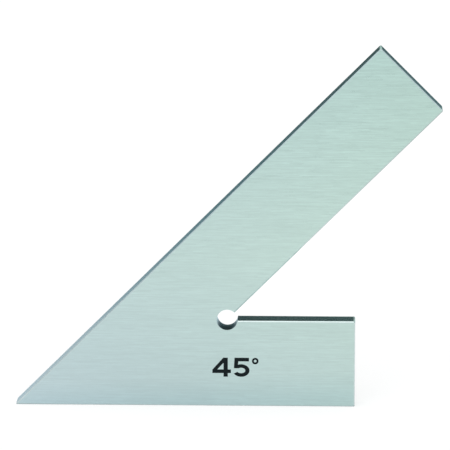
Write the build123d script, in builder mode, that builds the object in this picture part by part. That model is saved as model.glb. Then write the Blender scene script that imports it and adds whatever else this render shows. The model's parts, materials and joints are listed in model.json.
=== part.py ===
from build123d import *
import os
from math import cos, radians, sin, tan

# Flat steel angle square: one ground plate whose long blade leaves a short base at a
# fixed angle. It stands on its base edge, as it does on a surface plate. X runs along
# the base away from the sharp point, Z is up and Y goes through the plate, with the
# front face towards -Y. Lengths are in millimetres and angles in degrees.

# --- driving dimensions ---------------------------------------------------------

square_angle = 45.0          # between the base edge and the blade's outer edge
blade_length = 120.8         # along the blade's outer edge, from the sharp point
blade_width = 20.6           # across the blade, between its two working edges
base_length = 80.0           # along the base edge, from the sharp point
base_width = 20.6            # across the base, between its two working edges
plate_thickness = 5.4
relief_hole_diameter = 4.9   # clears burrs and dirt from the inner corner
relief_hole_offset = 0.33    # of its centre from the inner corner, along the blade
edge_chamfer = 0.22          # 45 degree break along every edge of both faces
corner_radius = 0.35         # stoned round on the four square corners
point_flat = 0.25            # width of the flat that blunts the sharp point

# --- the outline's corners, from the sharp point --------------------------------

angle = radians(square_angle)
along_blade = Vector(cos(angle), sin(angle))
into_blade = Vector(sin(angle), -cos(angle))
halving_line = Vector(cos(angle / 2), sin(angle / 2))

sharp_point = Vector(0, 0)
base_heel = Vector(base_length, 0)
base_shoulder = Vector(base_length, base_width)
blade_end_outer = along_blade * blade_length
blade_end_inner = blade_end_outer + into_blade * blade_width

# The inner corner lies a blade's width from the outer edge and a base's width up.
inner_run = (base_width + blade_width * cos(angle)) / sin(angle)
inner_corner = into_blade * blade_width + along_blade * inner_run
hole_centre = inner_corner + along_blade * relief_hole_offset

# --- how far the plate reaches along X, so that the origin is under its middle --

point_cut = point_flat / (2 * tan(angle / 2))
lowest_x = point_cut / cos(angle / 2) * cos(angle)
corner_centre = blade_end_inner - (along_blade + into_blade) * corner_radius
highest_x = corner_centre.X + corner_radius
middle_x = (lowest_x + highest_x) / 2

middle_plane = Plane(origin=(-middle_x, 0, 0), x_dir=(1, 0, 0), z_dir=(0, -1, 0))


# --- angle_square: the ground plate ---------------------------------------------

with BuildPart() as angle_square:
    with BuildSketch(middle_plane) as outline:
        with BuildLine():
            Polyline(
                sharp_point,
                base_heel,
                base_shoulder,
                inner_corner,
                blade_end_inner,
                blade_end_outer,
                close=True,
            )
        make_face()
        slanting_corners = [sharp_point, inner_corner]
        square_corners = [
            vertex
            for vertex in outline.vertices()
            if min((Vector(vertex) - corner).length for corner in slanting_corners) > corner_radius
        ]
        fillet(square_corners, radius=corner_radius)
    extrude(amount=plate_thickness / 2, both=True)

    # The chamfers of the two inner edges meet in the corner that the hole takes away.
    front_edges = angle_square.edges().group_by(Axis.Y)[0]
    back_edges = angle_square.edges().group_by(Axis.Y)[-1]
    chamfer(front_edges + back_edges, length=edge_chamfer)

    # A stone blunts the point square to the line that halves its angle.
    stoned_flat = Plane(
        origin=middle_plane.from_local_coords(halving_line * point_cut),
        z_dir=(halving_line.X, 0, halving_line.Y),
    )
    split(bisect_by=stoned_flat, keep=Keep.TOP)

    # The relief hole takes the inner corner away and opens into the gap.
    with Locations(Plane(origin=middle_plane.from_local_coords(hole_centre), z_dir=middle_plane.z_dir)):
        Hole(radius=relief_hole_diameter / 2)

angle_square.part.label = "angle_square"

os.makedirs("parts", exist_ok=True)
export_step(angle_square.part, "parts/angle_square.step")
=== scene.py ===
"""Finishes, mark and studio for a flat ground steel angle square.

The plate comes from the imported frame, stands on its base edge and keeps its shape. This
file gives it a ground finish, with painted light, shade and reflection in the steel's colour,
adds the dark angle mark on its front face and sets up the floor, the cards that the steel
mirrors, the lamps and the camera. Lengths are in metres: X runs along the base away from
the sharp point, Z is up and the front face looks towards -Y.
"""

import json
from math import cos, floor, pi, radians, sin
from typing import NamedTuple

import bpy
from bpy.props import FloatProperty, FloatVectorProperty, PointerProperty, StringProperty
from mathutils import Matrix, Quaternion, Vector


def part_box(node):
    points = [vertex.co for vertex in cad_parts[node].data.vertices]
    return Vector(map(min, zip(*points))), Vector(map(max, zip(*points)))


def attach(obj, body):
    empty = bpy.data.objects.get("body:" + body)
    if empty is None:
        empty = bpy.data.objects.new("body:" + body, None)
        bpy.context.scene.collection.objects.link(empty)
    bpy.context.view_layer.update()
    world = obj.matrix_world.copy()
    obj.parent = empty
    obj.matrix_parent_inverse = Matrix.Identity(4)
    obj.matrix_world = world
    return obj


bl_info = {
    "name": "Angle Square Finish",
    "version": (1, 0, 0),
    "blender": (4, 5, 0),
    "location": "View3D > Sidebar > Angle Square",
    "description": "Gives a flat angle square its ground finish, its angle mark and a studio",
    "category": "Object",
}

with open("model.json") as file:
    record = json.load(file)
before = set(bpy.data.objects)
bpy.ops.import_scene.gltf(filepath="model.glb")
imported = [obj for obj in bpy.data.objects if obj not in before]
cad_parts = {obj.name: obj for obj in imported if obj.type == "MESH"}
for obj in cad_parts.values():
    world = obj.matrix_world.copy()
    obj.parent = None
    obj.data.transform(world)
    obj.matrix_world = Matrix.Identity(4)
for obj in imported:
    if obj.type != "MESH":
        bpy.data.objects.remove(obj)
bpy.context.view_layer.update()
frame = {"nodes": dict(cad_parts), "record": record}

PLATE = "angle_square"
PLATE_LOW, PLATE_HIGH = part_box(PLATE)
RELIEF_BORE = next(mount for mount in frame["record"]["mounts"] if mount["name"] == "relief_bore")
THROUGH_PLATE = (0.0, 1.0, 0.0)      # from the front face to the back face
WITHOUT_DEPTH = (1.0, 0.0, 1.0)      # times a point, this lays it in the middle plane
WHITE = (1.0, 1.0, 1.0)


# --- shader trees ---------------------------------------------------------------


class Socket:
    """An output socket that can be reckoned with; each operator adds one Math node."""

    def __init__(self, tree, output):
        self.tree = tree
        self.output = output

    def __getitem__(self, name):
        """Another output of the same node."""
        return Socket(self.tree, self.output.node.outputs[name])

    def _math(self, operation, *terms):
        return self.tree.node("ShaderNodeMath", {"operation": operation}, dict(enumerate(terms)))

    def __add__(self, other):
        return self._math("ADD", self, other)

    def __radd__(self, other):
        return self._math("ADD", other, self)

    def __sub__(self, other):
        return self._math("SUBTRACT", self, other)

    def __rsub__(self, other):
        return self._math("SUBTRACT", other, self)

    def __mul__(self, other):
        return self._math("MULTIPLY", self, other)

    def __rmul__(self, other):
        return self._math("MULTIPLY", other, self)

    def __truediv__(self, other):
        return self._math("DIVIDE", self, other)

    def __rtruediv__(self, other):
        return self._math("DIVIDE", other, self)

    def __gt__(self, other):
        return self._math("GREATER_THAN", self, other)

    def __lt__(self, other):
        return self._math("LESS_THAN", self, other)

    def __abs__(self):
        return self._math("ABSOLUTE", self)

    def __floor__(self):
        return self._math("FLOOR", self)


class ShaderTree:
    """The nodes of one material or world, made one call at a time."""

    def __init__(self, owner):
        owner.use_nodes = True
        self.nodes = owner.node_tree.nodes
        self.links = owner.node_tree.links
        self.nodes.clear()

    def node(self, kind, settings=None, sockets=None):
        """Makes a node: its settings first, then the values or links of its sockets."""
        made = self.nodes.new(kind)
        for name, value in (settings or {}).items():
            if name == "stops":
                self._set_stops(made.color_ramp, value)
            else:
                setattr(made, name, value)
        for key, value in (sockets or {}).items():
            entry = self._entry(made, key)
            if isinstance(value, Socket):
                self.links.new(value.output, entry)
            elif hasattr(value, "__len__") and len(value) < len(entry.default_value):
                entry.default_value = (*value, 1.0)
            else:
                entry.default_value = value
        shown = [output for output in made.outputs if output.enabled]
        return Socket(self, shown[0]) if shown else None

    @staticmethod
    def _entry(made, key):
        """The input with that place or name that the node's settings leave in use."""
        if isinstance(key, int):
            return made.inputs[key]
        return next(entry for entry in made.inputs if entry.enabled and entry.name == key)

    @staticmethod
    def _set_stops(ramp, stops):
        while len(ramp.elements) < len(stops):
            ramp.elements.new(1.0)
        for element, (position, colour) in zip(ramp.elements, stops):
            element.position = position
            element.color = (*colour, 1.0)


# --- sizes and colours that a user would change ---------------------------------


class GroundSteelSettings(bpy.types.PropertyGroup):
    """Colours with painted light and shade, roughness, grain and wear of the plate."""

    # The four colours below are the steel's colour with painted light and shade in it: lighter
    # halfway up, darker at the foot and towards the top.
    upper_colour_painted_light: FloatVectorProperty(
        name="Upper colour",
        description="Colour of the steel at the top of the blade",
        subtype="COLOR",
        min=0.0,
        max=1.0,
        default=(0.478, 0.648, 0.636),
    )
    middle_colour_painted_light: FloatVectorProperty(
        name="Middle colour",
        description="Colour of the steel halfway up the blade",
        subtype="COLOR",
        min=0.0,
        max=1.0,
        default=(0.557, 0.716, 0.684),
    )
    lower_colour_painted_light: FloatVectorProperty(
        name="Lower colour",
        description="Colour of the steel of the base",
        subtype="COLOR",
        min=0.0,
        max=1.0,
        default=(0.544, 0.687, 0.685),
    )
    foot_colour_painted_shade: FloatVectorProperty(
        name="Foot colour",
        description="Colour of the steel just above the base edge",
        subtype="COLOR",
        min=0.0,
        max=1.0,
        default=(0.486, 0.642, 0.656),
    )
    # The two tints are painted light: bluer at the sharp point, yellower furthest from it.
    point_painted_light_tint: FloatVectorProperty(
        name="Point tint",
        description="Tint of the steel at the sharp point",
        subtype="COLOR",
        min=0.0,
        max=1.0,
        default=(0.974, 0.956, 1.0),
    )
    far_painted_light_tint: FloatVectorProperty(
        name="Far tint",
        description="Tint of the steel furthest from the sharp point",
        subtype="COLOR",
        min=0.0,
        max=1.0,
        default=(0.965, 0.982, 0.922),
    )
    break_colour: FloatVectorProperty(
        name="Break colour",
        description="Colour of the chamfers, which handling has polished bright",
        subtype="COLOR",
        min=0.0,
        max=1.0,
        default=(0.605, 0.69, 0.685),
    )
    grazing_tint: FloatVectorProperty(
        name="Grazing tint",
        description="Tint of what the steel mirrors at a low angle",
        subtype="COLOR",
        min=0.0,
        max=1.0,
        default=(0.74, 0.83, 0.88),
    )
    roughness: FloatProperty(
        name="Face roughness",
        description="Roughness of the ground faces between their streaks",
        min=0.0,
        max=1.0,
        subtype="FACTOR",
        default=0.32,
    )
    edge_roughness: FloatProperty(
        name="Edge roughness",
        description="Roughness of the finer ground edges and of the hole",
        min=0.0,
        max=1.0,
        subtype="FACTOR",
        default=0.24,
    )
    # The dark hole colour is painted shade and reflection, standing in for what the drilled wall
    # mirrors.
    hole_colour_painted_shade: FloatVectorProperty(
        name="Hole colour",
        description="Colour of the drilled wall of the relief hole",
        subtype="COLOR",
        min=0.0,
        max=1.0,
        default=(0.11, 0.145, 0.15),
    )
    hole_roughness: FloatProperty(
        name="Hole roughness",
        description="Roughness of the drilled wall of the relief hole",
        min=0.0,
        max=1.0,
        subtype="FACTOR",
        default=0.38,
    )
    corner_reach: FloatProperty(
        name="Corner reach",
        description="How far from each square corner the stone has left its dull finish",
        unit="LENGTH",
        precision=5,
        default=0.00040,
    )
    corner_roughness: FloatProperty(
        name="Corner roughness",
        description="Roughness of the corners that were rounded on a stone",
        min=0.0,
        max=1.0,
        subtype="FACTOR",
        default=0.85,
    )
    line_width: FloatProperty(
        name="Grinding line width",
        description="Width of the finest grinding lines",
        unit="LENGTH",
        precision=5,
        default=0.00013,
    )
    line_length: FloatProperty(
        name="Grinding line length",
        description="Length of the finest grinding lines",
        unit="LENGTH",
        precision=4,
        default=0.0028,
    )
    streak_width: FloatProperty(
        name="Streak width",
        description="Width of the streaks that several lines make together",
        unit="LENGTH",
        precision=5,
        default=0.00050,
    )
    streak_length: FloatProperty(
        name="Streak length",
        description="Length of the streaks that several lines make together",
        unit="LENGTH",
        precision=4,
        default=0.0038,
    )
    scratch_width: FloatProperty(
        name="Scratch width",
        description="Width of the single scratches",
        unit="LENGTH",
        precision=5,
        default=0.00022,
    )
    scratch_length: FloatProperty(
        name="Scratch length",
        description="Length of the single scratches, about",
        unit="LENGTH",
        precision=4,
        default=0.0045,
    )
    deep_scratch_level: FloatProperty(
        name="Deep scratch level",
        description="Scratches with a chance over this are deep; 0.48 leaves 2 in 100 of them deep",
        min=-0.5,
        max=0.5,
        default=0.48,
    )
    wear_spacing: FloatProperty(
        name="Wear spacing",
        description="Distance between the brighter and duller places along the chamfers, about",
        unit="LENGTH",
        precision=4,
        default=0.0014,
    )
    line_depth: FloatProperty(
        name="Grinding line depth",
        description="Depth of the finest grinding lines",
        unit="LENGTH",
        precision=6,
        default=0.000004,
    )


class AngleMarkSettings(bpy.types.PropertyGroup):
    """Figures, size and place of the mark on the front face."""

    figures: StringProperty(
        name="Figures",
        description="What the mark says, in the figures that are drawn",
        default="45°",
    )
    height: FloatProperty(
        name="Height",
        description="Height of the figures",
        unit="LENGTH",
        precision=4,
        default=0.0046,
    )
    along_base: FloatProperty(
        name="Along the base",
        description="Distance of the mark's middle from the middle of the plate",
        unit="LENGTH",
        precision=4,
        default=0.0019,
    )
    above_base: FloatProperty(
        name="Above the base edge",
        description="Height of the mark's middle over the base edge",
        unit="LENGTH",
        precision=4,
        default=0.0094,
    )
    film: FloatProperty(
        name="Film thickness",
        description="How far the mark stands proud of the front face",
        unit="LENGTH",
        precision=6,
        default=0.00002,
    )
    colour: FloatVectorProperty(
        name="Colour",
        description="Colour of the mark",
        subtype="COLOR",
        min=0.0,
        max=1.0,
        default=(0.004, 0.009, 0.011),
    )


class StudioSettings(bpy.types.PropertyGroup):
    """Floor, cards, room light and camera."""

    floor_size: FloatProperty(
        name="Floor size",
        description="Side of the square floor",
        unit="LENGTH",
        default=12.0,
    )
    floor_colour: FloatVectorProperty(
        name="Floor colour",
        description="Colour of the pale floor",
        subtype="COLOR",
        min=0.0,
        max=1.0,
        default=(0.86, 0.87, 0.87),
    )
    floor_white: FloatProperty(
        name="White share",
        description="Share of plain white in the floor, where it is seen and mirrored",
        min=0.0,
        max=1.0,
        subtype="FACTOR",
        default=0.6,
    )
    card_distance: FloatProperty(
        name="Card distance",
        description="Distance of the dark card behind the plate",
        unit="LENGTH",
        default=0.40,
    )
    card_fade: FloatProperty(
        name="Card fade",
        description="Height over the floor at which the card has gone fully dark",
        unit="LENGTH",
        precision=4,
        default=0.10,
    )
    card_height: FloatProperty(
        name="Card height",
        description="Height of the dark card itself",
        unit="LENGTH",
        default=0.50,
    )
    card_width: FloatProperty(
        name="Card width",
        description="Width of the dark card",
        unit="LENGTH",
        default=1.2,
    )
    card_colour: FloatVectorProperty(
        name="Card colour",
        description="Colour of the dark card above its fade",
        subtype="COLOR",
        min=0.0,
        max=1.0,
        default=(0.064, 0.084, 0.079),
    )
    side_card_distance: FloatProperty(
        name="Side card distance",
        description="Distance of the grey cards on both sides, which the outer chamfers mirror",
        unit="LENGTH",
        default=0.60,
    )
    side_card_colour: FloatVectorProperty(
        name="Side card colour",
        description="Colour of the grey cards",
        subtype="COLOR",
        min=0.0,
        max=1.0,
        default=(0.72, 0.80, 0.84),
    )
    room_light: FloatProperty(
        name="Room light",
        description="Strength of the even light from all round",
        min=0.0,
        default=0.97,
    )
    camera_turn: FloatProperty(
        name="Camera turn",
        description="Angle of the camera round the plate, from straight in front towards +X",
        subtype="ANGLE",
        default=radians(1.52),
    )
    camera_rise: FloatProperty(
        name="Camera rise",
        description="Angle of the camera above the plate",
        subtype="ANGLE",
        default=radians(12.29),
    )
    camera_roll: FloatProperty(
        name="Camera roll",
        description="Turn of the camera about its own line of sight",
        subtype="ANGLE",
        default=radians(0.02),
    )
    camera_distance: FloatProperty(
        name="Camera distance",
        description="Distance of the camera from the point it looks at",
        unit="LENGTH",
        default=0.8774,
    )
    camera_target: FloatVectorProperty(
        name="Camera target",
        description="The point on the front face that the camera looks at",
        subtype="XYZ",
        unit="LENGTH",
        default=(-0.000565, -0.0027, 0.04358),
    )
    camera_lens: FloatProperty(
        name="Camera lens",
        description="Focal length in millimetres",
        unit="CAMERA",
        default=301.26,
    )


# --- finishes -------------------------------------------------------------------

# What tells the parts of the plate apart: how they face and where they are.
FACE_LIMIT = 0.9               # a normal with more of Y than this is on a face,
BREAK_LIMIT = 0.4              # and one with more than this on a chamfer
UPWARD_LIMIT = 0.9             # a normal with more of Z than this looks straight up
SLANT_LIMIT = -0.3             # one with less of Z looks down, one with less of X to the left
# Below this height a painted shadow of the floor darkens the lower chamfers and a line of the
# faces.
FOOT_HEIGHT = 0.00028          # of the lower chamfers and a line of the faces over them
WALL_LIMITS = (1.01, 1.03)     # where the drilled wall fades out, in parts of its radius
WALL_SIDES = (0.15, 0.70)      # Z of the wall's normal, from its sides to its bottom
WALL_BACK = -0.0005            # Y from which the drilled wall gets lighter
STRIP_START = 0.00243          # from the middle plane to the dull strips beside the breaks,
STRIP_SLOPE = 0.009            # and how much wider they get for each metre along the base
CORNER_CORE = 0.55             # part of a corner's reach that is fully dull
CORNER_DULLNESS = (1.0, 0.5)   # of the stoned corners, in front and behind
POINT_FADE = (0.02, 0.10)      # where the outer edge's painted shade sets in, in parts of the plate's height
                               # plate's height

# How strong the grain is.
EDGE_GRAIN = 0.14              # on the edges,
FACE_GRAIN = 0.31              # more of it on the faces,
FACE_GRAIN_RISE = 0.43         # more again towards the top of the faces,
WALL_GRAIN = 0.40              # more on the drilled wall,
FINE_EDGE_GRAIN = 0.80         # and more of the fine lines alone on the edges
PATCHED_GRAIN = (1.05, 1.2)    # all of it times the first, give or take handling's second
EDGE_RELIEF = 0.05             # depth of the lines on the edges, in parts of the faces'

# How much each layer of the grain lightens the steel, how much it roughens it, and how
# high it stands, in parts of the line depth.
BROAD_SHADES = {
    "streaks": 0.16, "long_streaks": 0.08, "bands": 0.05, "scores": 0.10, "deep_scores": -0.06,
}
FINE_SHADES = {"lines": 0.08, "hairlines": 0.08, "finest_lines": 0.06}
ROUGHNESSES = {"streaks": 0.10, "lines": 0.10, "scores": 0.05, "hairlines": 0.05}
DEPTHS = {"lines": 1.0, "streaks": 1.0, "finest_lines": 0.5}

# The four colours of the steel, with painted light and shade: darker at the foot and the top.
COLOUR_HEIGHTS = (0.015, 0.085, 0.42, 0.98)    # in parts of the plate's height
COLOUR_SLOPE = 0.5     # how far these heights rise for each metre along the base
PAINTED_LIGHT_TINT_SLOPE = 10.0      # what the share of the far painted light tint gains for each metre along the base

# What handling and wear do to colour and roughness, and the painted light and shade.
HANDLING_SPACING = 0.025
HANDLING_SHADE = 0.05
HANDLING_ROUGHNESS = 0.06
WEAR_SHADE = 0.30
WEAR_ROUGHNESS = 0.25
STRIP_ROUGHNESS = 0.45
# A painted shadow of the floor along the foot.
FOOT_PAINTED_SHADOW = 0.13
# Painted light and shade standing in for what these chamfers and edges mirror.
UNDER_BLADE_PAINTED_LIGHT_AND_SHADE = (0.34, 0.80)   # chamfers that look down: more, and less towards the top
OVER_BLADE_PAINTED_LIGHT_AND_SHADE = (0.24, 0.12)    # outer edge: more towards the top, and less all along it
# The dark drilled wall is painted shade and reflection; its sides and back are lighter by painted
# reflection.
WALL_PAINTED_SHADE = 0.85                  # the hole's colour times this, low down and in front,
WALL_SIDE_PAINTED_REFLECTION = 3.5              # and times this more at the sides of its wall
WALL_BACK_PAINTED_REFLECTION = 2.2              # and this more at its back

# Scratches lie in rows, and chance gives each row its own length and start.
SCRATCH_STRETCH = 0.5      # fewest scratches in one scratch length; there is up to 1 more
SCRATCH_SHIFT = 53.0       # scratches by which a row is moved at most

# The film of the mark: its least shade and roughness, and how much its speckles add.
SPECKLE_SPACING = 0.00025
FILM_SHADE = (0.7, 0.6)
FILM_ROUGHNESS = (0.42, 0.25)
FILM_SPECULAR = 0.12

FLOOR_FADE = (0.2, 0.9)    # from its middle; plain white takes over between these
FLOOR_GLOW = 1.08          # strength of that white
FLOOR_ROUGHNESS = 0.5

# The dark card's colours from its foot up, in parts of its fade; the last is a setting.
CARD_FOOT_COLOURS = (
    (0.0, (0.46, 0.570, 0.620)),
    (0.1, (0.265, 0.365, 0.415)),
    (0.2, (0.172, 0.252, 0.294)),
    (0.32, (0.150, 0.220, 0.250)),
    (0.42, (0.112, 0.186, 0.200)),
    (0.6, (0.130, 0.196, 0.213)),
    (0.68, (0.114, 0.191, 0.210)),
    (0.78, (0.079, 0.138, 0.149)),
)
CARD_DARKEST = -0.025          # X of its darkest part
CARD_SIDES = (0.02, 0.075)     # distances from there between which it gets paler
CARD_SIDE_SHADE = 1.42         # how many times paler it is from there on


class Layer(NamedTuple):
    """One layer of the grain: where it starts, and its marks' size in parts of a setting."""

    start: float            # across the grain; no two layers lie on each other
    length: float = 1.0
    width: float = 1.0
    detail: float = 2.0     # of drawn out noise; scratches have none


LINES = Layer(3.7)
STREAKS = Layer(11.3)
LONG_STREAKS = Layer(17.1, length=4.0)
BANDS = Layer(23.9, length=12.0, width=7.0, detail=1.0)
SCORES = Layer(31.5)
HAIRLINES = Layer(57.5, length=2.0, width=0.4)
FINEST_LINES = Layer(83.5, length=1.5, width=0.2)


def named_material(name):
    """A new material and the tree of its nodes."""
    material = bpy.data.materials.new(name)
    return material, ShaderTree(material)


def scaled(tree, colour, scale):
    """A colour times a number."""
    return tree.node(
        "ShaderNodeVectorMath", {"operation": "SCALE"}, {"Vector": colour, "Scale": scale}
    )


def mixed(tree, share, first, second):
    """The first colour with a share of the second."""
    return tree.node(
        "ShaderNodeMix", {"data_type": "RGBA"}, {"Factor": share, "A": first, "B": second}
    )


def ranged(tree, value, limits, ends=(0.0, 1.0), change="SMOOTHSTEP"):
    """From one end to the other while the value goes through its limits."""
    sockets = {"From Min": limits[0], "From Max": limits[1], "To Min": ends[0], "To Max": ends[1]}
    return tree.node(
        "ShaderNodeMapRange", {"interpolation_type": change}, {"Value": value, **sockets}
    )


def patches(tree, point, spacing, detail=2.0):
    """Soft patches about that far apart, from about 0 to 1."""
    return tree.node(
        "ShaderNodeTexNoise", {}, {"Vector": point, "Scale": 1 / spacing, "Detail": detail}
    )


def drawn_lines(tree, run, across, size, layer):
    """Noise drawn out along the grain, from about -0.5 to 0.5."""
    length, width = size[0] * layer.length, size[1] * layer.width
    place = tree.node(
        "ShaderNodeCombineXYZ", {}, {"X": run / length, "Y": across / width + layer.start}
    )
    noise = tree.node(
        "ShaderNodeTexNoise",
        {"noise_dimensions": "2D"},
        {"Vector": place, "Scale": 1.0, "Detail": layer.detail},
    )
    return noise - 0.5


def scratches(tree, run, across, size, layer):
    """Straight scratches side by side, each of its own length and depth, from -0.5 to 0.5."""
    length, width = size[0] * layer.length, size[1] * layer.width
    row = floor(across / width + layer.start)
    chance = tree.node("ShaderNodeTexWhiteNoise", {"noise_dimensions": "1D"}, {"W": row})
    scratch = floor(run / length * (SCRATCH_STRETCH + chance) + chance * SCRATCH_SHIFT)
    cell = tree.node("ShaderNodeCombineXYZ", {}, {"X": scratch, "Y": row})
    return tree.node("ShaderNodeTexWhiteNoise", {"noise_dimensions": "2D"}, {"Vector": cell}) - 0.5


def added(layers, shares):
    """The named layers of the grain together, each times its share."""
    return sum(layers[name] * share for name, share in shares.items())


def near_line(tree, point, place, full_reach, reach):
    """1 near a line that runs through the plate at that place, fading to 0 at its reach."""
    flat = tree.node(
        "ShaderNodeVectorMath", {"operation": "MULTIPLY"}, {0: point, 1: WITHOUT_DEPTH}
    )
    apart = tree.node(
        "ShaderNodeVectorMath", {"operation": "DISTANCE"}, {0: flat, 1: (place[0], 0.0, place[2])}
    )["Value"]
    return ranged(tree, apart, (full_reach, reach), (1.0, 0.0))


def outline_corners():
    """The square corners of the outline: the blade's two, the base's heel and its shoulder."""
    points = [vertex.co for vertex in frame["nodes"][PLATE].data.vertices]
    top = max(points, key=lambda point: point.z)
    right = max(points, key=lambda point: point.x)
    base_top = RELIEF_BORE["pos_m"][2]
    base = [point for point in points if point.z < base_top]
    heel = max(base, key=lambda point: point.x - point.z)
    shoulder = max(base, key=lambda point: point.x + point.z)
    return top, right, heel, shoulder


class PlateSpot:
    """A spot of the plate: its place, the way it faces, and its share in each zone."""

    def __init__(self, tree, looks):
        coordinates = tree.node("ShaderNodeTexCoord")
        self.point, self.facing = coordinates["Object"], coordinates["Normal"]
        place = tree.node("ShaderNodeSeparateXYZ", {}, {"Vector": self.point})
        slant = tree.node("ShaderNodeSeparateXYZ", {}, {"Vector": self.facing})
        self.x, self.y, self.z = place["X"], place["Y"], place["Z"]
        self.height = self.z / PLATE_HIGH.z

        self.on_face = abs(slant["Y"]) > FACE_LIMIT
        off_face = 1 - self.on_face
        self.on_break = (abs(slant["Y"]) > BREAK_LIMIT) * off_face
        hole_radius = RELIEF_BORE["dims"]["r_mm"] / 1000
        wall_limits = (hole_radius * limit for limit in WALL_LIMITS)
        self.in_hole = near_line(tree, self.point, RELIEF_BORE["pos_m"], *wall_limits) * off_face
        self.on_edge = off_face * (1 - self.in_hole)

        # Masks for the painted reflection that lightens the sides and the back of the hole's wall.
        self.beside_hole = ranged(tree, slant["Z"], WALL_SIDES, (1.0, 0.0))
        self.towards_back = ranged(tree, self.y, (WALL_BACK, PLATE_HIGH.y))
        # Mask for the painted floor shadow along the foot.
        self.at_foot = self.z < FOOT_HEIGHT
        # Masks for painted light and shade: the chamfers under the blade and the outer edge.
        self.under_blade = self.on_break * (1 - self.at_foot) * (slant["Z"] < SLANT_LIMIT)
        self.over_blade = self.on_edge * (slant["X"] < SLANT_LIMIT)
        strip_start = STRIP_START - STRIP_SLOPE * self.x
        self.in_strip = self.on_edge * (slant["Z"] > UPWARD_LIMIT) * (abs(self.y) > strip_start)

        reach = looks.corner_reach
        corners = sum(
            near_line(tree, self.point, corner, reach * CORNER_CORE, reach)
            for corner in outline_corners()
        )
        front, behind = CORNER_DULLNESS
        inwards = self.y / (PLATE_HIGH.y - PLATE_LOW.y)
        self.on_corner = corners * off_face * ((front + behind) / 2 - inwards * (front - behind))


def grain_layers(tree, spot, looks):
    """The layers of the grain, along the base on the faces and along each edge on the edges."""
    edge_line = tree.node(
        "ShaderNodeVectorMath", {"operation": "CROSS_PRODUCT"}, {0: spot.facing, 1: THROUGH_PLATE}
    )
    edge_run = tree.node(
        "ShaderNodeVectorMath", {"operation": "DOT_PRODUCT"}, {0: spot.point, 1: edge_line}
    )["Value"]
    run = edge_run + (spot.x - edge_run) * spot.on_face
    across = spot.y + (spot.z - spot.y) * spot.on_face

    line = looks.line_length, looks.line_width
    streak = looks.streak_length, looks.streak_width
    scratch = looks.scratch_length, looks.scratch_width
    scores = scratches(tree, run, across, scratch, SCORES)
    return {
        "lines": drawn_lines(tree, run, across, line, LINES),
        "streaks": drawn_lines(tree, run, across, streak, STREAKS),
        "long_streaks": drawn_lines(tree, run, across, streak, LONG_STREAKS),
        "bands": drawn_lines(tree, run, across, streak, BANDS),
        "scores": scores,
        "deep_scores": scores > looks.deep_scratch_level,
        "hairlines": scratches(tree, run, across, scratch, HAIRLINES),
        "finest_lines": scratches(tree, run, across, scratch, FINEST_LINES),
    }


def steel_colours(tree, spot, looks):
    """The plate's colours before grain and wear, with painted light and shade in them:
    the faces, the chamfers and the hole.
    """
    colours = looks.foot_colour_painted_shade, looks.lower_colour_painted_light, looks.middle_colour_painted_light, looks.upper_colour_painted_light
    # Painted light and shade by height, with the heights rising along the base.
    rising = tree.node(
        "ShaderNodeValToRGB",
        {"stops": tuple(zip(COLOUR_HEIGHTS, colours))},
        {"Fac": spot.height - spot.x * COLOUR_SLOPE},
    )
    # Painted light tint that changes along the base.
    tint = mixed(tree, spot.x * PAINTED_LIGHT_TINT_SLOPE + 0.5, looks.point_painted_light_tint, looks.far_painted_light_tint)
    ground = tree.node("ShaderNodeVectorMath", {"operation": "MULTIPLY"}, {0: rising, 1: tint})
    broken = mixed(tree, spot.on_break, ground, looks.break_colour)
    # Painted shade and reflection on the drilled wall, lighter at its sides and towards the back.
    lit = WALL_PAINTED_SHADE + spot.beside_hole * WALL_SIDE_PAINTED_REFLECTION + spot.towards_back * WALL_BACK_PAINTED_REFLECTION
    return mixed(tree, spot.in_hole, broken, scaled(tree, looks.hole_colour_painted_shade, lit))


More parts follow.
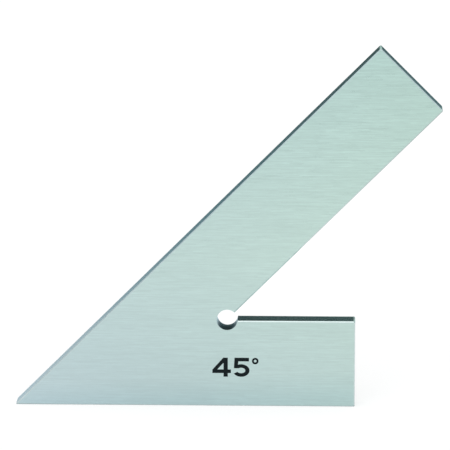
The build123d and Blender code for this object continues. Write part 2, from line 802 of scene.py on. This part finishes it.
def ground_steel(looks):
    """Ground steel with its grain, worn chamfers, stoned corners and a drilled hole, and painted
    light, shade and reflection in its colour.
    """
    material, tree = named_material("ground_steel")
    spot = PlateSpot(tree, looks)
    layers = grain_layers(tree, spot, looks)
    handling = patches(tree, spot.point, HANDLING_SPACING) - 0.5
    wear = patches(tree, spot.point, looks.wear_spacing, detail=3.0) - 0.5

    level, change = PATCHED_GRAIN
    face_grain = (FACE_GRAIN + FACE_GRAIN_RISE * spot.height) * spot.on_face
    strength = EDGE_GRAIN + face_grain + WALL_GRAIN * spot.in_hole
    strength = strength * (level + handling * change)
    fine_strength = strength + FINE_EDGE_GRAIN * (1 - spot.on_face)
    grain = added(layers, BROAD_SHADES) * strength + added(layers, FINE_SHADES) * fine_strength

    # Painted light and shade: chamfers under the blade lighter low down and darker higher up, the
    # outer edge darker near the point and lighter higher up.
    lift, fall = UNDER_BLADE_PAINTED_LIGHT_AND_SHADE
    under_blade = spot.under_blade * (lift - fall * spot.height)
    rise, loss = OVER_BLADE_PAINTED_LIGHT_AND_SHADE
    past_point = ranged(tree, spot.height, POINT_FADE, change="LINEAR")
    over_blade = spot.over_blade * (rise * spot.height - loss) * past_point
    # Grain, wear and handling, with the painted light and shade under and over the blade and the
    # painted floor shadow at the foot.
    shade = (
        1.0
        + grain
        + wear * WEAR_SHADE * spot.on_break
        + handling * HANDLING_SHADE
        + under_blade
        + over_blade
        - spot.at_foot * FOOT_PAINTED_SHADOW
    )
    roughness = (
        looks.edge_roughness
        + (looks.roughness - looks.edge_roughness) * spot.on_face
        + (looks.hole_roughness - looks.edge_roughness) * spot.in_hole
        + (looks.corner_roughness - looks.edge_roughness) * spot.on_corner
        + added(layers, ROUGHNESSES) * strength
        + wear * WEAR_ROUGHNESS * spot.on_break
        + spot.in_strip * STRIP_ROUGHNESS
        + handling * HANDLING_ROUGHNESS
    )
    relief = added(layers, DEPTHS) * (EDGE_RELIEF + (1 - EDGE_RELIEF) * spot.on_face)
    bump = tree.node(
        "ShaderNodeBump",
        {},
        {"Strength": 1.0, "Distance": looks.line_depth, "Height": relief},
    )
    surface = tree.node(
        "ShaderNodeBsdfPrincipled",
        {},
        {
            "Base Color": scaled(tree, steel_colours(tree, spot, looks), shade),
            "Metallic": 1.0,
            "Roughness": roughness,
            "Specular Tint": looks.grazing_tint,
            "Normal": bump,
        },
    )
    tree.node("ShaderNodeOutputMaterial", {}, {"Surface": surface})
    return material


def etched_black(looks):
    """The dark film of an etched mark, a little uneven."""
    material, tree = named_material("etched_black")
    point = tree.node("ShaderNodeTexCoord")["Object"]
    speckle = patches(tree, point, SPECKLE_SPACING)
    least_shade, more_shade = FILM_SHADE
    least_roughness, more_roughness = FILM_ROUGHNESS
    surface = tree.node(
        "ShaderNodeBsdfPrincipled",
        {},
        {
            "Base Color": scaled(tree, looks.colour, least_shade + speckle * more_shade),
            "Roughness": least_roughness + speckle * more_roughness,
            "Specular IOR Level": FILM_SPECULAR,
        },
    )
    tree.node("ShaderNodeOutputMaterial", {}, {"Surface": surface})
    return material


def seen_or_mirrored(tree):
    """1 for what the camera sees, straight, mirrored or through glass, and 0 for light."""
    ray = tree.node("ShaderNodeLightPath")
    looking = ray["Is Camera Ray"] + ray["Is Glossy Ray"] + ray["Is Transmission Ray"]
    return tree.node("ShaderNodeMath", {"operation": "MINIMUM"}, {0: looking, 1: 1.0})


def pale_floor(looks):
    """A pale floor that is seen and mirrored near white and still holds a soft shadow."""
    material, tree = named_material("pale_floor")
    shown = seen_or_mirrored(tree)
    paint = tree.node(
        "ShaderNodeBsdfDiffuse", {}, {"Color": looks.floor_colour, "Roughness": FLOOR_ROUGHNESS}
    )
    white = tree.node("ShaderNodeEmission", {}, {"Color": WHITE, "Strength": FLOOR_GLOW})
    middle = tree.node("ShaderNodeTexCoord")["Object"]
    apart = tree.node("ShaderNodeVectorMath", {"operation": "LENGTH"}, {0: middle})["Value"]
    share = ranged(tree, apart, FLOOR_FADE, (looks.floor_white, 1.0))
    surface = tree.node("ShaderNodeMixShader", {}, {0: shown * share, 1: paint, 2: white})
    tree.node("ShaderNodeOutputMaterial", {}, {"Surface": surface})
    return material


def dark_card(looks):
    """The dark card that the upright edges mirror; it fades to pale where it meets the floor."""
    material, tree = named_material("dark_card")
    point = tree.node("ShaderNodeTexCoord")["Object"]
    place = tree.node("ShaderNodeSeparateXYZ", {}, {"Vector": point})
    colour = tree.node(
        "ShaderNodeValToRGB",
        {"stops": (*CARD_FOOT_COLOURS, (1.0, looks.card_colour))},
        {"Fac": place["Z"] / looks.card_fade},
    )
    aside = ranged(tree, abs(place["X"] - CARD_DARKEST), CARD_SIDES, (1.0, CARD_SIDE_SHADE))
    surface = tree.node(
        "ShaderNodeEmission", {}, {"Color": scaled(tree, colour, aside), "Strength": 1.0}
    )
    tree.node("ShaderNodeOutputMaterial", {}, {"Surface": surface})
    return material


def grey_card(looks):
    """The grey cards on both sides, which keep the outer chamfers from glaring."""
    material, tree = named_material("grey_card")
    surface = tree.node(
        "ShaderNodeEmission", {}, {"Color": looks.side_card_colour, "Strength": 1.0}
    )
    tree.node("ShaderNodeOutputMaterial", {}, {"Surface": surface})
    return material


# --- figures of the mark --------------------------------------------------------


def arc(centre, radii, start, stop, steps=24):
    """Points on an ellipse, from one angle in degrees to another."""
    (x, y), (across, up) = centre, radii
    angles = [radians(start + (stop - start) * step / steps) for step in range(steps + 1)]
    return [(x + across * cos(angle), y + up * sin(angle)) for angle in angles]


# Each figure's outlines in parts of its height, the outer one first.
FIGURES = {
    "4": (
        [
            (0.56, 1.0), (0.79, 1.0), (0.79, 0.38), (0.95, 0.38), (0.95, 0.19), (0.79, 0.19),
            (0.79, 0.0), (0.57, 0.0), (0.57, 0.19), (0.0, 0.19), (0.0, 0.37),
        ],
        [(0.57, 0.38), (0.57, 0.73), (0.25, 0.38)],
    ),
    "5": (
        [
            (0.06, 1.0), (0.80, 1.0), (0.80, 0.81), (0.26, 0.81),
            *arc((0.40, 0.33), (0.43, 0.33), 112, -150),
            *arc((0.40, 0.33), (0.215, 0.145), -150, 128),
            (0.03, 0.45),
        ],
    ),
    "°": (
        arc((0.17, 0.83), (0.17, 0.17), 0, 345, 23),
        arc((0.17, 0.83), (0.07, 0.07), 0, 345, 23),
    ),
}
FIGURE_GAP = 0.12      # between two figures, in parts of their height


# --- pieces and studio ----------------------------------------------------------

# The side cards, from in front of the plate to behind it and from low to high.
SIDE_CARD_ALONG = (-0.50, 0.20)
SIDE_CARD_HEIGHTS = (0.37, 0.90)
# Each lamp: its power in watts, its width and depth, its place and where it points.
LAMPS = {
    "overhead_softbox": (2.8, (1.6, 1.2), (0.0, -0.30, 1.1), (0.0, 0.0, 0.0)),
    "left_softbox": (0.6, (0.6, 0.6), (-0.60, -1.0, 0.55), (0.0, 0.0, 0.04)),
    "right_softbox": (0.45, (0.6, 0.6), (0.70, -0.95, 0.50), (0.0, 0.0, 0.04)),
}
CAMERA_REACH = 50.0    # how far the camera sees


def add_panel(name, corners, material):
    """A flat panel of the studio, from its four corners."""
    mesh = bpy.data.meshes.new(name)
    mesh.from_pydata(corners, [], [(0, 1, 2, 3)])
    mesh.materials.append(material)
    panel = bpy.data.objects.new(name, mesh)
    bpy.context.scene.collection.objects.link(panel)
    return panel


def drawn_figures(looks):
    """The figures as one flat filled curve, and its width in parts of their height."""
    drawing = bpy.data.curves.new("angle_mark", "CURVE")
    drawing.dimensions = "2D"
    drawing.fill_mode = "BOTH"
    drawing.extrude = looks.film / 2
    width = -FIGURE_GAP
    for figure in looks.figures:
        if figure not in FIGURES:
            raise RuntimeError("no outline is drawn for the figure " + figure)
        left = width + FIGURE_GAP
        for outline in FIGURES[figure]:
            spline = drawing.splines.new("POLY")
            spline.points.add(len(outline) - 1)
            for point, (x, y) in zip(spline.points, outline):
                point.co = ((left + x) * looks.height, (y - 0.5) * looks.height, 0.0, 1.0)
            spline.use_cyclic_u = True
        width = left + max(x for x, _y in FIGURES[figure][0])
    if not drawing.splines:
        raise RuntimeError("the mark has no figures")
    return drawing, width


class SQUARE_OT_ground_plate(bpy.types.Operator):
    """Give the plate its ground steel finish"""

    bl_idname = "square.ground_plate"
    bl_label = "Ground Plate"

    def execute(self, context):
        plate = frame["nodes"][PLATE]
        plate.data.materials.clear()
        plate.data.materials.append(ground_steel(context.scene.ground_steel))
        return {"FINISHED"}


class SQUARE_OT_angle_mark(bpy.types.Operator):
    """Put the dark angle mark on the front face of the base"""

    bl_idname = "square.angle_mark"
    bl_label = "Angle Mark"

    def execute(self, context):
        looks = context.scene.angle_mark
        drawing, width = drawn_figures(looks)
        writing = bpy.data.objects.new("angle_mark_writing", drawing)
        context.scene.collection.objects.link(writing)
        context.view_layer.update()
        mesh = bpy.data.meshes.new_from_object(writing)
        bpy.data.objects.remove(writing)
        mesh.transform(Matrix.Translation((-width / 2 * looks.height, 0.0, 0.0)))
        mesh.transform(Matrix.Rotation(pi / 2, 4, "X"))
        centre = Vector((looks.along_base, PLATE_LOW.y - looks.film / 2, looks.above_base))
        mesh.transform(Matrix.Translation(centre))
        mesh.materials.clear()
        mesh.materials.append(etched_black(looks))
        mark = bpy.data.objects.new("angle_mark", mesh)
        context.scene.collection.objects.link(mark)
        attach(mark, "root")
        return {"FINISHED"}


class SQUARE_OT_studio(bpy.types.Operator):
    """Set up the floor, the cards, the lamps, the room light and the camera"""

    bl_idname = "square.studio"
    bl_label = "Studio"

    def execute(self, context):
        looks = context.scene.studio
        self.floor(looks)
        self.cards(looks)
        self.lamps(context.scene)
        self.room(context.scene, looks)
        self.camera(context.scene, looks)
        context.scene.view_settings.view_transform = "Standard"
        return {"FINISHED"}

    def floor(self, looks):
        half = looks.floor_size / 2
        corners = [(-half, -half, 0), (half, -half, 0), (half, half, 0), (-half, half, 0)]
        add_panel("floor", corners, pale_floor(looks))

    def cards(self, looks):
        half, away, beside = looks.card_width / 2, looks.card_distance, looks.side_card_distance
        near, far = SIDE_CARD_ALONG
        grey, dark, dark_heights = grey_card(looks), dark_card(looks), (0.0, looks.card_height)
        for name, start, stop, (low, high), material in (
            ("dark_card", (-half, away), (half, away), dark_heights, dark),
            ("grey_card_left", (-beside, near), (-beside, far), SIDE_CARD_HEIGHTS, grey),
            ("grey_card_right", (beside, near), (beside, far), SIDE_CARD_HEIGHTS, grey),
        ):
            corners = [(*start, low), (*stop, low), (*stop, high), (*start, high)]
            card = add_panel(name, corners, material)
            card.visible_camera = False
            card.visible_diffuse = False
            card.visible_shadow = False
            card.visible_transmission = False

    def lamps(self, scene):
        for name, (power, size, place, aim) in LAMPS.items():
            lamp = bpy.data.lights.new(name, "AREA")
            lamp.shape = "RECTANGLE"
            lamp.size, lamp.size_y = size
            lamp.energy = power
            held = bpy.data.objects.new(name, lamp)
            held.location = place
            held.rotation_euler = (Vector(aim) - Vector(place)).to_track_quat("-Z", "Y").to_euler()
            scene.collection.objects.link(held)

    def room(self, scene, looks):
        world = bpy.data.worlds.new("white_room")
        scene.world = world
        tree = ShaderTree(world)
        shown = seen_or_mirrored(tree)
        even = tree.node("ShaderNodeBackground", {}, {"Color": WHITE, "Strength": looks.room_light})
        white = tree.node("ShaderNodeBackground", {}, {"Color": WHITE, "Strength": 1.0})
        surface = tree.node("ShaderNodeMixShader", {}, {0: shown, 1: even, 2: white})
        tree.node("ShaderNodeOutputWorld", {}, {"Surface": surface})

    def camera(self, scene, looks):
        turn, rise = looks.camera_turn, looks.camera_rise
        back = Vector((sin(turn) * cos(rise), -cos(turn) * cos(rise), sin(rise)))
        target = Vector(looks.camera_target)
        lens = bpy.data.cameras.new("studio_camera")
        lens.lens = looks.camera_lens
        lens.clip_end = CAMERA_REACH
        camera = bpy.data.objects.new("studio_camera", lens)
        camera.location = target + back * looks.camera_distance
        sight = (-back).to_track_quat("-Z", "Y") @ Quaternion((0.0, 0.0, 1.0), looks.camera_roll)
        camera.rotation_euler = sight.to_euler()
        scene.collection.objects.link(camera)
        scene.camera = camera


# --- sidebar --------------------------------------------------------------------


class SQUARE_PT_sidebar(bpy.types.Panel):
    """Lists the steps that dress the angle square"""

    bl_idname = "SQUARE_PT_sidebar"
    bl_label = "Angle Square"
    bl_space_type = "VIEW_3D"
    bl_region_type = "UI"
    bl_category = "Angle Square"

    def draw(self, context):
        for operator, group in STEPS:
            box = self.layout.box()
            box.operator(operator)
            settings = getattr(context.scene, group)
            for name in settings.bl_rna.properties.keys():
                if name not in {"rna_type", "name"}:
                    box.prop(settings, name)


STEPS = (
    ("square.ground_plate", "ground_steel"),
    ("square.angle_mark", "angle_mark"),
    ("square.studio", "studio"),
)
SETTINGS = (
    ("ground_steel", GroundSteelSettings),
    ("angle_mark", AngleMarkSettings),
    ("studio", StudioSettings),
)
CLASSES = (
    GroundSteelSettings,
    AngleMarkSettings,
    StudioSettings,
    SQUARE_OT_ground_plate,
    SQUARE_OT_angle_mark,
    SQUARE_OT_studio,
    SQUARE_PT_sidebar,
)


def register():
    for made in CLASSES:
        bpy.utils.register_class(made)
    for name, group in SETTINGS:
        setattr(bpy.types.Scene, name, PointerProperty(type=group))


def unregister():
    for name, _group in SETTINGS:
        delattr(bpy.types.Scene, name)
    for made in reversed(CLASSES):
        bpy.utils.unregister_class(made)


def main():
    register()
    bpy.ops.square.ground_plate()
    bpy.ops.square.angle_mark()
    bpy.ops.square.studio()


if __name__ == "__main__":
    main()
